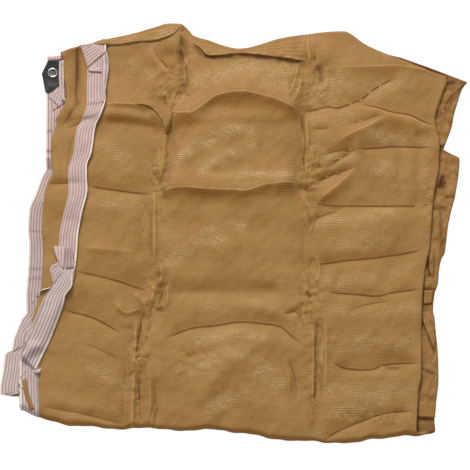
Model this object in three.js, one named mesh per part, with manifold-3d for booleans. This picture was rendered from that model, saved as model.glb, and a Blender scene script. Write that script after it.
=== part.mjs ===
// Shade sail: a square knitted net with taped selvedges and a patched, eyeletted corner,
// folded in half from right to left, then in half again from far to near, and laid flat.
// Millimetres, +X right, +Y away, +Z up. The origin is the middle of the packet's box, on its underside.
import * as THREE from "three";
import { mergeVertices } from "three/addons/utils/BufferGeometryUtils.js";
import Module from "manifold-3d";

const wasm = await Module();
wasm.setup();

// Sheets.
const NET = 1.5; // net, with its loft
const TAPE = 0.9; // one side of the folded tape
const GAP = 0.3; // between pieces that are sewn together
const PITCH = 6; // height from one layer of net to the next
const TAPE_WIDTH = 40;
const LIP = NET / 2 + GAP; // from the middle of the net to the tape
const SKIN = LIP + TAPE; // from the middle of the net to the outside of the tape

// Fold radii, measured to the middle of the net.
const FOLD = PITCH / 2; // where the halves meet at the right, and where the margin turns over
const NEAR_FOLD = 1.5 * PITCH; // outer half, at the near edge

// Heights.
const LOWEST = NET / 2;
const FOLD_HEIGHT = LOWEST + NEAR_FOLD;

// Corner patch and eyelet.
const PATCH = 1.2;
const EYELET = { x: -403, y: 368, bore: 15, flange: 23.5, back: 22, wall: 0.8, rim: 1.6, washer: 1 };

// Share of the run, on each side of its middle, that the near fold takes.
const TURN = 0.02;

// The cloth along its length. run: -1 is the far end of the lower run, 0 the near fold, 1 the far end
// of the upper run. start: where the outer half begins to lie flat at the left. margin: cloth beyond
// that. turned: angle by which the margin is turned over. right: right-hand fold. inner: free edge
// of the inner half.
const ALONG = [
  { run: -1.0, start: -394, margin: 16, turned: 0, right: 509, inner: -405 },
  { run: -0.92, start: -394, margin: 16, turned: 0, right: 486, inner: -408 },
  { run: -0.82, start: -394, margin: 16, turned: 0, right: 472, inner: -408 },
  { run: -0.73, start: -395, margin: 16, turned: 0, right: 462, inner: -408 },
  { run: -0.68, start: -396, margin: 16, turned: 0, right: 490, inner: -410 },
  { run: -0.6, start: -417, margin: 16, turned: 0, right: 484, inner: -432 },
  { run: -0.45, start: -436, margin: 16, turned: 0, right: 458, inner: -446 },
  { run: -0.3, start: -438, margin: 16, turned: 0, right: 436, inner: -450 },
  { run: -0.15, start: -462, margin: 16, turned: 0, right: 444, inner: -486 },
  { run: -0.02, start: -452, margin: 16, turned: 0, right: 439, inner: -470 },
  { run: 0.02, start: -452, margin: 16, turned: 0, right: 396, inner: -470 },
  { run: 0.09, start: -454, margin: 16, turned: 0, right: 397, inner: -508 },
  { run: 0.14, start: -453, margin: 16, turned: 0, right: 401, inner: -500 },
  { run: 0.17, start: -450, margin: 14, turned: 100, right: 408, inner: -492 },
  { run: 0.2, start: -457, margin: 42, turned: 180, right: 408, inner: -488 },
  { run: 0.26, start: -443, margin: 50, turned: 180, right: 409, inner: -478 },
  { run: 0.33, start: -428, margin: 57, turned: 180, right: 410, inner: -456 },
  { run: 0.42, start: -418, margin: 84, turned: 180, right: 416, inner: -455 },
  { run: 0.5, start: -420, margin: 80, turned: 180, right: 427, inner: -452 },
  { run: 0.6, start: -415, margin: 93, turned: 180, right: 436, inner: -438 },
  { run: 0.67, start: -411, margin: 97, turned: 180, right: 447, inner: -420 },
  { run: 0.75, start: -407, margin: 102, turned: 180, right: 450, inner: -418 },
  { run: 0.83, start: -392, margin: 104, turned: 180, right: 439, inner: -417 },
  { run: 0.9, start: -380, margin: 102, turned: 180, right: 452, inner: -416 },
  { run: 1.0, start: -382, margin: 106, turned: 180, right: 464, inner: -416 },
];

// The ends of the cloth. near: near fold. outer, inner: far ends of the upper run's two layers.
// lower: far ends of the lower run's two layers.
const ACROSS = [
  { x: -520, near: -430, outer: 385, inner: 405, lower: 395 },
  { x: -420, near: -437, outer: 400, inner: 408, lower: 398 },
  { x: -385, near: -447, outer: 414, inner: 409, lower: 402 },
  { x: -345, near: -454, outer: 436, inner: 412, lower: 410 },
  { x: -230, near: -459, outer: 459, inner: 440, lower: 425 },
  { x: -147, near: -461, outer: 482, inner: 455, lower: 430 },
  { x: -99, near: -462, outer: 468, inner: 450, lower: 430 },
  { x: -60, near: -463, outer: 445, inner: 425, lower: 420 },
  { x: 10, near: -470, outer: 424, inner: 405, lower: 405 },
  { x: 105, near: -485, outer: 450, inner: 425, lower: 420 },
  { x: 158, near: -487, outer: 460, inner: 440, lower: 430 },
  { x: 240, near: -494, outer: 466, inner: 445, lower: 438 },
  { x: 290, near: -487, outer: 434, inner: 425, lower: 433 },
  { x: 330, near: -481, outer: 420, inner: 412, lower: 426 },
  { x: 440, near: -473, outer: 385, inner: 370, lower: 384 },
  { x: 520, near: -470, outer: 350, inner: 345, lower: 348 },
];

// Two old fold lines run the length of the packet. west, east: where they lie.
const OLD_FOLDS = [
  { run: 0.02, west: -233, east: 182 },
  { run: 0.13, west: -224, east: 181 },
  { run: 0.22, west: -207, east: 178 },
  { run: 0.3, west: -184, east: 165 },
  { run: 0.5, west: -178, east: 158 },
  { run: 0.62, west: -166, east: 150 },
  { run: 0.75, west: -150, east: 148 },
  { run: 0.85, west: -112, east: 150 },
  { run: 1.0, west: -116, east: 158 },
];
const OLD_FOLD = { half: 24, depth: 0.26 };

// Where the packet stands fuller than its layers. gain: share of the height.
const FULLNESS = [
  { x: -250, y: 330, across: 110, along: 150, gain: 0.24 },
  { x: 30, y: 330, across: 150, along: 90, gain: 0.3 },
  { x: 0, y: 180, across: 150, along: 80, gain: 0.34 },
  { x: -10, y: -20, across: 160, along: 110, gain: 0.32 },
  { x: -20, y: -300, across: 190, along: 120, gain: 0.3 },
  { x: 300, y: 240, across: 120, along: 110, gain: 0.34 },
  { x: 310, y: -10, across: 120, along: 70, gain: 0.26 },
  { x: 300, y: -190, across: 120, along: 90, gain: 0.3 },
  { x: 300, y: -390, across: 140, along: 70, gain: 0.2 },
  { x: -290, y: 120, across: 110, along: 110, gain: 0.22 },
  { x: -290, y: -110, across: 110, along: 70, gain: 0.22 },
  { x: -300, y: -330, across: 110, along: 110, gain: 0.24 },
];

// Soft troughs across the packet, between its old folds. depth: share of the height.
const TROUGHS = [
  { from: [-230, 275], to: [-154, 236], depth: 0.16 },
  { from: [-130, 262], to: [145, 255], depth: 0.22 },
  { from: [-176, 82], to: [143, 105], depth: 0.24 },
  { from: [-180, -138], to: [140, -138], depth: 0.14 },
  { from: [-265, -42], to: [-218, -49], depth: 0.14 },
  { from: [-310, -206], to: [-249, -236], depth: 0.16 },
  { from: [-150, -243], to: [143, -240], depth: 0.1 },
  { from: [213, 290], to: [363, 360], depth: 0.18 },
  { from: [176, 65], to: [433, 63], depth: 0.24 },
  { from: [187, -75], to: [425, -45], depth: 0.16 },
  { from: [220, -304], to: [407, -302], depth: 0.18 },
];
const TROUGH_HALF = 32;

// Mesh steps.
const TAPE_STEPS = 6;
const MARGIN_STEPS = 7;
const MARGIN_END = 140; // from the free edge, past every place where the margin turns
const PANEL_STEPS = 2; // from one old fold to the next
const RIGHT_STEPS = 4;
const INNER_TAPE_STEPS = 2;
const LOWER_ROWS = 7;
const NEAR_STEPS = 5;
// Rows of the upper run, closest together where the margin turns over.
const UPPER_ROWS = [
  { from: 0.02, to: 0.12, steps: 2 },
  { from: 0.12, to: 0.22, steps: 8 },
  { from: 0.22, to: 0.4, steps: 4 },
  { from: 0.4, to: 1, steps: 11 },
];
const ROUND_STEPS = 36;
const RIM_STEPS = 6;

// A smooth curve through one column of a table, level beyond its ends. It never swings past a row's value.
function read(table, key, at, column) {
  const last = table.length - 1;
  if (at <= table[0][key]) return table[0][column];
  if (at >= table[last][key]) return table[last][column];
  const i = table.findIndex((row) => row[key] > at) - 1;
  const rate = (k) => (table[k + 1][column] - table[k][column]) / (table[k + 1][key] - table[k][key]);
  const slope = (k) => {
    if (k === 0 || k === last) return rate(Math.min(k, last - 1));
    const [before, after] = [rate(k - 1), rate(k)];
    return before * after > 0 ? (2 * before * after) / (before + after) : 0;
  };
  const span = table[i + 1][key] - table[i][key];
  const t = (at - table[i][key]) / span;
  const rise = table[i + 1][column] - table[i][column];
  const first = slope(i) * span;
  const second = slope(i + 1) * span;
  return table[i][column] + t * (first + t * (3 * rise - 2 * first - second + t * (first + second - 2 * rise)));
}

function along(run, column) {
  return read(ALONG, "run", run, column);
}

function oldFold(run, side) {
  return read(OLD_FOLDS, "run", Math.abs(run), side);
}

function across(x, column) {
  return read(ACROSS, "x", x, column);
}

function mix(a, b, share) {
  return a + (b - a) * share;
}

// Distance from a point to a line between two points.
function awayFrom(x, y, [x0, y0], [x1, y1]) {
  const [dx, dy] = [x1 - x0, y1 - y0];
  const t = THREE.MathUtils.clamp(((x - x0) * dx + (y - y0) * dy) / (dx * dx + dy * dy), 0, 1);
  return Math.hypot(x - x0 - t * dx, y - y0 - t * dy);
}

// How much higher than its layers the packet stands here. Round the eyelet it is level.
function fullness(x, y, run) {
  let share = 0;
  for (const f of FULLNESS) {
    share += f.gain * Math.exp(-(((x - f.x) / f.across) ** 2) - ((y - f.y) / f.along) ** 2);
  }
  for (const t of TROUGHS) {
    share -= t.depth * Math.exp(-((awayFrom(x, y, t.from, t.to) / TROUGH_HALF) ** 2));
  }
  for (const side of ["west", "east"]) {
    share -= OLD_FOLD.depth * Math.exp(-(((x - oldFold(run, side)) / OLD_FOLD.half) ** 2));
  }
  const clear = Math.hypot(x - EYELET.x, y - EYELET.y);
  return 1 + share * THREE.MathUtils.smoothstep(clear, 60, 120);
}

// The lower tape lifts the left margin off the ground by what it stands out from the net.
function lift(x, run) {
  const edge = along(-Math.abs(run), "start") - along(-Math.abs(run), "margin");
  return (SKIN - NET / 2) * (1 - THREE.MathUtils.smoothstep(x - edge, TAPE_WIDTH + 8, TAPE_WIDTH + 50));
}

// A point of the packet. depth: how far in from the outer half. angle: -90 is the lower run, 90 the
// upper one, and the near fold lies between.
function place(x, depth, run, angle) {
  const radius = NEAR_FOLD - depth;
  const share = Math.max(Math.abs(run) - TURN, 0) / (1 - TURN);
  const layer = THREE.MathUtils.clamp(depth / PITCH, 0, 1);
  const middle = across(x, "near") + NEAR_FOLD;
  const upper = mix(across(x, "outer"), across(x, "inner"), layer);
  const far = run > 0 ? upper : across(x, "lower") - layer * PITCH;
  const turn = THREE.MathUtils.degToRad(angle);
  const y = mix(middle, far, share) - radius * Math.cos(turn);
  const height = FOLD_HEIGHT + radius * Math.sin(turn);
  const z = height > 0 ? height * fullness(x, y, run) : height;
  return new THREE.Vector3(x, y, z + lift(x, run));
}

// A point of the outer half, u from its free edge. off: towards the face that lies outwards.
function outerPoint(row, u, off) {
  const start = along(row.run, "start");
  const margin = along(row.run, "margin");
  const turned = THREE.MathUtils.degToRad(along(row.run, "turned"));
  const past = margin - u;
  if (past <= 0) return place(start - past, -off, row.run, row.angle);
  const bend = Math.min(past / FOLD, turned);
  const straight = past - bend * FOLD;
  const x = start - (FOLD - off) * Math.sin(bend) - straight * Math.cos(bend);
  const depth = -FOLD + (FOLD - off) * Math.cos(bend) - straight * Math.sin(bend);
  return place(x, depth, row.run, row.angle);
}

// A point of the right-hand fold, at -90 by the outer half and 90 by the inner one.
function rightPoint(row, degrees, off) {
  const bend = THREE.MathUtils.degToRad(degrees);
  const x = along(row.run, "right") - FOLD + (FOLD + off) * Math.cos(bend);
  return place(x, FOLD + (FOLD + off) * Math.sin(bend), row.run, row.angle);
}

// A point of the inner half, q from its free edge.
function innerPoint(row, q, off) {
  return place(along(row.run, "inner") + q, PITCH + off, row.run, row.angle);
}

// Rows along the cloth, from the far end of the lower run to that of the upper one.
function rows() {
  const list = [];
  for (let i = 0; i <= LOWER_ROWS; i++) {
    list.push({ run: mix(-1, -TURN, i / LOWER_ROWS), angle: -90 });
  }
  for (let i = 1; i < NEAR_STEPS; i++) {
    list.push({ run: mix(-TURN, TURN, i / NEAR_STEPS), angle: mix(-90, 90, i / NEAR_STEPS) });
  }
  list.push({ run: TURN, angle: 90 });
  for (const part of UPPER_ROWS) {
    for (let i = 1; i <= part.steps; i++) list.push({ run: mix(part.from, part.to, i / part.steps), angle: 90 });
  }
  return list;
}

// Steps between two places, closer together where the margin turns over.
function steps(from, to, count, focus) {
  const fine = 200;
  const sums = [0];
  for (let i = 1; i <= fine; i++) {
    const at = mix(from, to, (i - 0.5) / fine);
    sums.push(sums[i - 1] + 1 + 4 * Math.exp(-(((at - focus) / (2.2 * FOLD)) ** 2)));
  }
  const list = [];
  for (let k = 0, i = 0; k <= count; k++) {
    const wanted = (sums[fine] * k) / count;
    while (i < fine && sums[i] < wanted) i++;
    const before = Math.max(i - 1, 0);
    const part = i === before ? 0 : (wanted - sums[before]) / (sums[i] - sums[before]);
    list.push(mix(from, to, (before + part) / fine));
  }
  return list;
}

function outerTapeSteps(row) {
  return steps(0, TAPE_WIDTH, TAPE_STEPS, along(row.run, "margin") - 1.5 * FOLD);
}

// Places across one half, closer together at its old folds.
function panelSteps(row, from, to) {
  const stops = [from];
  for (const side of ["west", "east"]) {
    const line = oldFold(row.run, side);
    const before = stops[stops.length - 1];
    for (let i = 1; i <= PANEL_STEPS; i++) stops.push(mix(before, line - OLD_FOLD.half, i / PANEL_STEPS));
    stops.push(line, line + OLD_FOLD.half);
  }
  const before = stops[stops.length - 1];
  for (let i = 1; i <= PANEL_STEPS; i++) stops.push(mix(before, to, i / PANEL_STEPS));
  return stops;
}

// One row of the net's points, from the outer half's free edge round to the inner half's.
function netRow(row, off) {
  const points = outerTapeSteps(row).map((u) => outerPoint(row, u, off));
  const focus = along(row.run, "margin") - 1.5 * FOLD;
  for (const u of steps(TAPE_WIDTH, MARGIN_END, MARGIN_STEPS, focus).slice(1)) {
    points.push(outerPoint(row, u, off));
  }
  const edge = along(row.run, "start") - along(row.run, "margin");
  const flat = along(row.run, "right") - FOLD;
  for (const x of panelSteps(row, edge + MARGIN_END, flat).slice(1)) {
    points.push(outerPoint(row, x - edge, off));
  }
  for (let i = 1; i < RIGHT_STEPS; i++) {
    points.push(rightPoint(row, mix(-90, 90, i / RIGHT_STEPS), off));
  }
  const inner = along(row.run, "inner");
  for (const x of panelSteps(row, inner + TAPE_WIDTH, flat).reverse()) {
    points.push(innerPoint(row, x - inner, off));
  }
  for (let i = 1; i <= INNER_TAPE_STEPS; i++) {
    points.push(innerPoint(row, mix(TAPE_WIDTH, 0, i / INNER_TAPE_STEPS), off));
  }
  return points;
}

// One row of a tape folded round an edge. point: gives a place of the net at a distance from that edge.
function tapeRow(row, distances, point, away, beyond) {
  const inward = [...distances].reverse();
  return [
    ...inward.map((u) => point(row, u, away)),
    point(row, -beyond, away),
    point(row, -beyond, -away),
    ...distances.map((u) => point(row, u, -away)),
  ];
}

function outerTapeRow(row, away, beyond) {
  return tapeRow(row, outerTapeSteps(row), outerPoint, away, beyond);
}

function innerTapeRow(row, away, beyond) {
  const distances = [];
  for (let i = 0; i <= INNER_TAPE_STEPS; i++) distances.push((TAPE_WIDTH * i) / INNER_TAPE_STEPS);
  return tapeRow(row, distances, innerPoint, away, beyond);
}

// A closed sheet between two grids of points.
function sheet(front, back) {
  const height = front.length;
  const width = front[0].length;
  const points = [...front.flat(), ...back.flat()];
  const at = (side, i, j) => (side * height + i) * width + j;
  const index = [];
  const quad = (a, b, c, d) => index.push(a, b, c, a, c, d);
  for (let i = 0; i + 1 < height; i++) {
    for (let j = 0; j + 1 < width; j++) {
      quad(at(0, i, j), at(0, i, j + 1), at(0, i + 1, j + 1), at(0, i + 1, j));
      const b = [at(1, i, j), at(1, i, j + 1), at(1, i + 1, j + 1), at(1, i + 1, j)];
      index.push(b[0], b[2], b[1], b[0], b[3], b[2]);
    }
    quad(at(0, i + 1, 0), at(1, i + 1, 0), at(1, i, 0), at(0, i, 0));
    quad(at(0, i, width - 1), at(1, i, width - 1), at(1, i + 1, width - 1), at(0, i + 1, width - 1));
  }
  for (let j = 0; j + 1 < width; j++) {
    quad(at(0, 0, j), at(1, 0, j), at(1, 0, j + 1), at(0, 0, j + 1));
    quad(at(0, height - 1, j + 1), at(1, height - 1, j + 1), at(1, height - 1, j), at(0, height - 1, j));
  }
  const geometry = new THREE.BufferGeometry().setFromPoints(points);
  geometry.setIndex(index);
  return geometry;
}

function toSolid(geometry) {
  const bare = geometry.index ? geometry.toNonIndexed() : geometry.clone();
  bare.deleteAttribute("normal");
  bare.deleteAttribute("uv");
  const merged = mergeVertices(bare, 1e-3);
  return new wasm.Manifold(
    new wasm.Mesh({
      numProp: 3,
      vertProperties: merged.attributes.position.array,
      triVerts: new Uint32Array(merged.index.array),
    }),
  );
}

function fromSolid(solid) {
  const mesh = solid.getMesh();
  const geometry = new THREE.BufferGeometry();
  geometry.setAttribute("position", new THREE.BufferAttribute(new Float32Array(mesh.vertProperties), 3));
  geometry.setIndex([...mesh.triVerts]);
  return geometry;
}

// A clearance hole for the eyelet's barrel.
function pierced(geometry, floor, ceiling) {
  const radius = EYELET.bore / 2 + EYELET.wall + GAP;
  const barrel = new THREE.CylinderGeometry(radius, radius, ceiling - floor, ROUND_STEPS);
  barrel.rotateX(Math.PI / 2);
  barrel.translate(EYELET.x, EYELET.y, (floor + ceiling) / 2);
  return fromSolid(toSolid(geometry).subtract(toSolid(barrel)));
}

// Height of the middle of the inner half's upper layer at the eyelet.
function cornerHeight() {
  return FOLD_HEIGHT + NEAR_FOLD - PITCH + SKIN - NET / 2;
}

function patch() {
  const outline = [
    [-412, 399],
    [-374, 401],
    [-374, 352],
    [-410, 321],
    [-419, 322],
    [-427, 366],
  ];
  const shape = new THREE.Shape(outline.map(([x, y]) => new THREE.Vector2(x, y)));
  const slab = new THREE.ExtrudeGeometry(shape, { depth: PATCH, bevelEnabled: false });
  const foot = cornerHeight() + SKIN + GAP;
  slab.translate(0, 0, foot);
  return pierced(slab, foot - 1, foot + PATCH + 1);
}

function eyelet() {
  const bore = EYELET.bore / 2;
  const barrel = bore + EYELET.wall;
  const top = SKIN + GAP + PATCH + GAP;
  const under = -SKIN - GAP;
  const half = (EYELET.flange / 2 - bore) / 2;
  const profile = [
    [bore, under - EYELET.washer],
    [EYELET.back / 2, under - EYELET.washer],
    [EYELET.back / 2, under],
    [barrel, under],
    [barrel, top],
    [EYELET.flange / 2, top],
  ].map(([r, z]) => new THREE.Vector2(r, z));
  // The rim is a half-round bead from the flange's edge back to the bore.
  for (let i = 1; i <= RIM_STEPS; i++) {
    const turn = (Math.PI * i) / RIM_STEPS;
    profile.push(new THREE.Vector2(bore + half + half * Math.cos(turn), top + EYELET.rim * Math.sin(turn)));
  }
  profile.push(profile[0].clone());
  const ring = new THREE.LatheGeometry(profile, ROUND_STEPS);
  ring.rotateX(Math.PI / 2);
  ring.translate(EYELET.x, EYELET.y, cornerHeight());
  return fromSolid(toSolid(ring));
}

function cloth(rowOf) {
  const list = rows();
  return sheet(
    list.map((row) => rowOf(row, 1)),
    list.map((row) => rowOf(row, -1)),
  );
}

const upperHole = [cornerHeight() - SKIN - 1, cornerHeight() + SKIN + 1];

function net() {
  return pierced(cloth((row, side) => netRow(row, (side * NET) / 2)), ...upperHole);
}

// A tape's two skins. outside: the side of the sheet that its outer skin makes.
function tapeSheet(tape, outside) {
  return cloth((row, side) => (side === outside ? tape(row, SKIN, GAP + TAPE) : tape(row, LIP, GAP)));
}

// Materials.
const net_cloth = new THREE.MeshStandardMaterial({ color: 0xad8552, roughness: 0.75, metalness: 0 });
const striped_tape = new THREE.MeshStandardMaterial({ color: 0xd3b9b4, roughness: 0.85, metalness: 0 });
const coated_cloth = new THREE.MeshStandardMaterial({ color: 0x323432, roughness: 0.45, metalness: 0 });
const aluminium = new THREE.MeshStandardMaterial({ color: 0xc9ccd0, roughness: 0.3, metalness: 1 });

const sail = new THREE.Group();

function add(name, geometry, material) {
  const mesh = new THREE.Mesh(geometry, material);
  mesh.name = name;
  sail.add(mesh);
}

add("net", net(), net_cloth);
add("tape_outer", tapeSheet(outerTapeRow, -1), striped_tape);
add("tape_inner", pierced(tapeSheet(innerTapeRow, 1), ...upperHole), striped_tape);
add("corner_patch", patch(), coated_cloth);
add("eyelet", eyelet(), aluminium);

// The origin goes to the middle of the box, on the underside.
const box = new THREE.Box3().setFromObject(sail, true);
const middle = box.getCenter(new THREE.Vector3());
for (const mesh of sail.children) mesh.position.set(-middle.x, -middle.y, -box.min.z);

export default sail;
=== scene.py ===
"""A folded knitted shade sail, laid flat: net, striped edge tape, corner patch and eyelet.

The cloth is worked out as one sheet, folded in half from right to left and then from far to near. Its run
goes from -1 at the far end of the lower half, through 0 at the near fold, to 1 at the far end of the upper
half. Lengths are in millimetres. Places lie in the packet's own plan, whose origin ORIGIN gives in the frame.
"""
import math

import bpy
import numpy as np
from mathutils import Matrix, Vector
from mathutils.bvhtree import BVHTree


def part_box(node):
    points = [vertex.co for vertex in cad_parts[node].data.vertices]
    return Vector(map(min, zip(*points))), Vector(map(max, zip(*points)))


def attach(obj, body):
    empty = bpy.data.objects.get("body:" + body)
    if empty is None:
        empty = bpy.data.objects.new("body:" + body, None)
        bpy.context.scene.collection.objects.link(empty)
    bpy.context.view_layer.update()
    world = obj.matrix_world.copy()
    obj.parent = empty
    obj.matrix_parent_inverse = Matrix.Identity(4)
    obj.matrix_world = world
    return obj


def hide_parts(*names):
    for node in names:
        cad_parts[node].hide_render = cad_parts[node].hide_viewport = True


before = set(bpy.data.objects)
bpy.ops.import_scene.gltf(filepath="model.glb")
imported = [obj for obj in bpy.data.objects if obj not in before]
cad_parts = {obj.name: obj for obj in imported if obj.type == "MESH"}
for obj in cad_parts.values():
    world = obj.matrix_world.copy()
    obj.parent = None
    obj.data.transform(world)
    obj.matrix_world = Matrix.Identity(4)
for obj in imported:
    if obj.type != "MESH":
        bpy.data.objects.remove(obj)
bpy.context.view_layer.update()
MM = 0.001

# Sheets and folds.
NET = 1.2
TAPE = 0.8
PATCH = 1.2
TAPE_WIDTH = 40.0
LIP = 1.0  # from the middle of the net to the tape
SKIN = LIP + TAPE
PITCH = 6.0  # from one layer of net to the next
FOLD = PITCH / 2
NEAR_FOLD = 1.5 * PITCH
LOWEST = 0.75  # height of the lowest layer's middle
FOLD_HEIGHT = LOWEST + NEAR_FOLD
TURN = 0.02  # share of the run, on each side of its middle, that the near fold takes
TAPE_LIFT = 1.2  # how much the lower tape lifts the left margin
RAISED = 4.6  # how much higher the lower run's inner layer lies where it shows at the right
SUNK = 3.0  # how much lower the upper run's inner layer lies than its pitch, away from its edges
PRESSING = 6.0  # depth at which a crease begins to press down the layer under it
DEEPEST = 9.5  # of a crease, near which the cloth under it stops it
CREASE_GAIN = 1.35
CUSP = 2.5  # how far from its line a crease is rounded
FAR = 1e9  # beyond everything

# Patterns, in metres.
KNIT_ROW = 0.0051
KNIT_RIB = 0.0032
STRIPE = 0.0064
TAPE_WEAVE = 0.0030
SPECK = 0.0018

# Grids.
LOWER_ROWS, NEAR_ROWS, UPPER_ROWS = 210, 8, 202
MARGIN_STEPS, PANEL_STEPS, BENDS, STRIP_STEPS, EDGE_STEPS = 34, 200, 6, 36, 6
MARGIN_END = 130.0  # from the free edge, past every place where the margin turns over
STRIP_END = 110.0  # from the right-hand fold, how far the lower run can show
TAPE_STEPS, LEVEL_STEPS = 16, 10  # across a turned tape and a flat one
FLAP_STEP = 3.5
FLAP_GAP = 0.4  # between a flap and what it lies on
ROUND = 40  # sides of a round hole
EYELET_SIDES = 56
PATCH_ROWS, PATCH_COLUMNS = 23, 17
SKY = 0.2  # metres, a height above every piece
STITCHES = 460  # in each line of a seam
STITCH = (2.2, 0.7, 0.4)  # length, width and height
SEAM_INSET = 3.0  # from each edge of the tape
SEAM_END = 0.995  # on the run

# Unevenness: seed, number of waves, and the shortest and longest of them.
BROAD_WAVES = (3, 26, 60, 260)
FINE_WAVES = (5, 34, 20, 60)
CRUMPLE_WAVES = (11, 24, 12, 34)
STRIP_WAVES = (8, 24, 14, 60)
NEAR_WAVES = (31, 12, 36, 140)
PATCH_WAVES = (21, 12, 20, 60)
FLAP_WAVES = (12, 14, 40)  # the length of a flap's name is their seed
NEAR_WAVE = 1.6  # unevenness of the near edge

# The patch's lowest corner in the packet's plan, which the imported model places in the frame.
PATCH_CORNER = (-427.0, 321.0)
EYELET = {"x": -403.0, "y": 368.0, "bore": 7.5, "flange": 11.75, "back": 11.0}
HOLE = EYELET["bore"] + 1.1  # radius, in the cloth
ORIGIN = [corner / MM - place for corner, place in zip(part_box("corner_patch")[0], PATCH_CORNER)]


def columns(names, text):
    """A table written as text, as one array for each named column."""
    rows = [line.split() for line in text.strip().splitlines()]
    return dict(zip(names.split(), np.array(rows, float).T))


def line_of(text):
    """The places of a line, from text such as "x,y x,y"."""
    return np.array([pair.split(",") for pair in text.split()], float)


def paths(names, text):
    """A table written as text, of named numbers followed by the places of a line."""
    names = names.split()
    rows = []
    for line in text.strip().splitlines():
        words = line.split(maxsplit=len(names))
        if words:
            row = {name: float(word) for name, word in zip(names, words)}
            row["path"] = line_of(words[-1])
            rows.append(row)
    return rows


# start: where the outer half begins to lie flat at the left; margin: cloth beyond that; turned: angle
# by which the margin is turned over.
LEFT = columns("run start margin turned", """
-1 -394 16 0
-0.73 -395 16 0
-0.68 -396 16 0
-0.6 -417 16 0
-0.45 -436 16 0
-0.3 -438 16 0
-0.15 -462 16 0
-0.02 -452 16 0
0.02 -452 16 0
0.09 -454 16 0
0.14 -453 16 0
0.17 -450 14 100
0.2 -457 42 180
0.26 -442 50 180
0.33 -427 57 180
0.37 -420 70 180
0.438 -417 77 180
0.507 -420 84 180
0.547 -421 91 180
0.611 -416 99 180
0.648 -410 92 180
0.678 -398 80 180
0.711 -400 92 180
0.752 -402 99 180
0.783 -399 101 180
0.8 -393 104 180
0.827 -387 107 180
0.875 -368 90 180
0.927 -374 97 180
0.968 -375 98 180
1 -383 106 180
""")

# inner: free edge of the inner half.
INNER = columns("run inner", """
-1 -405
-0.92 -408
-0.68 -410
-0.6 -432
-0.45 -446
-0.3 -450
-0.15 -486
-0.02 -470
0.056 -471
0.064 -512
0.076 -513
0.13 -507
0.178 -502
0.184 -489
0.22 -484
0.247 -471
0.26 -467
0.283 -456
0.33 -457
0.38 -454
0.47 -451
0.52 -454
0.57 -452
0.62 -438
0.67 -424
0.69 -416
1 -416
""")

# right: the right-hand fold.
RIGHT = columns("run right", """
-1 513
-0.975 501
-0.937 492
-0.896 483
-0.862 478
-0.816 466
-0.79 460
-0.786 476
-0.779 495
-0.729 492
-0.682 486
-0.667 484
-0.624 475
-0.58 468
-0.537 464
-0.505 460
-0.487 453
-0.456 448
-0.417 445
-0.391 438
-0.341 434
-0.323 437
-0.283 440
-0.227 444
-0.162 445
-0.12 442
-0.058 435
-0.02 437
0.02 396
0.066 398
0.132 402
0.16 407
0.192 408
0.323 409
0.394 412
0.47 420
0.509 427
0.631 435
0.673 439
0.742 449
0.806 451
0.872 441
0.932 453
0.966 461
0.985 466
1 468
""")

# near: near fold; outer, inner: far ends of the upper run's layers; lower: those of the lower run.
ACROSS = columns("x near outer inner lower", """
-520 -430 385 405 395
-480 -430 390 406 396
-471 -418 392 406 396
-430 -432 400 407 398
-415 -438 402 408 398
-385 -447 414 409 402
-345 -454 429 412 410
-315 -456 434 420 414
-298 -457 442 426 417
-230 -459 457 440 425
-170 -461 476 450 428
-147 -461 482 455 430
-118 -462 482 452 430
-99 -463 466 448 430
-92 -463 456 440 428
-60 -463 445 425 420
10 -470 424 405 405
105 -485 450 425 420
158 -487 460 440 430
240 -494 466 445 438
290 -487 434 425 430
335 -481 411 402 420
373 -477 394 384 409
391 -476 387 376 403
427 -473 373 361 389
446 -473 367 355 380
467 -472 360 348 369
520 -470 345 330 351
""")

# Two old fold lines run the length of the packet. west, east: where they lie.
OLD_FOLDS = columns("run west east", """
0.02 -233 182
0.13 -224 181
0.22 -207 178
0.3 -184 165
0.5 -178 158
0.62 -166 150
0.75 -150 148
0.85 -112 150
1 -116 158
""")
OLD_FOLD = {"half": 24.0, "depth": 0.2}

# Where the packet stands fuller than its layers. gain: share of the height.
FULLNESS = columns("x y across along gain", """
-250 330 110 150 0.24
30 330 150 90 0.3
0 180 150 80 0.34
-10 -20 160 110 0.32
-20 -300 190 120 0.3
300 240 120 110 0.34
310 -10 120 70 0.26
300 -190 120 90 0.3
300 -390 140 70 0.2
-290 120 110 110 0.22
-290 -110 110 70 0.22
-300 -330 110 110 0.24
""")

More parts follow.
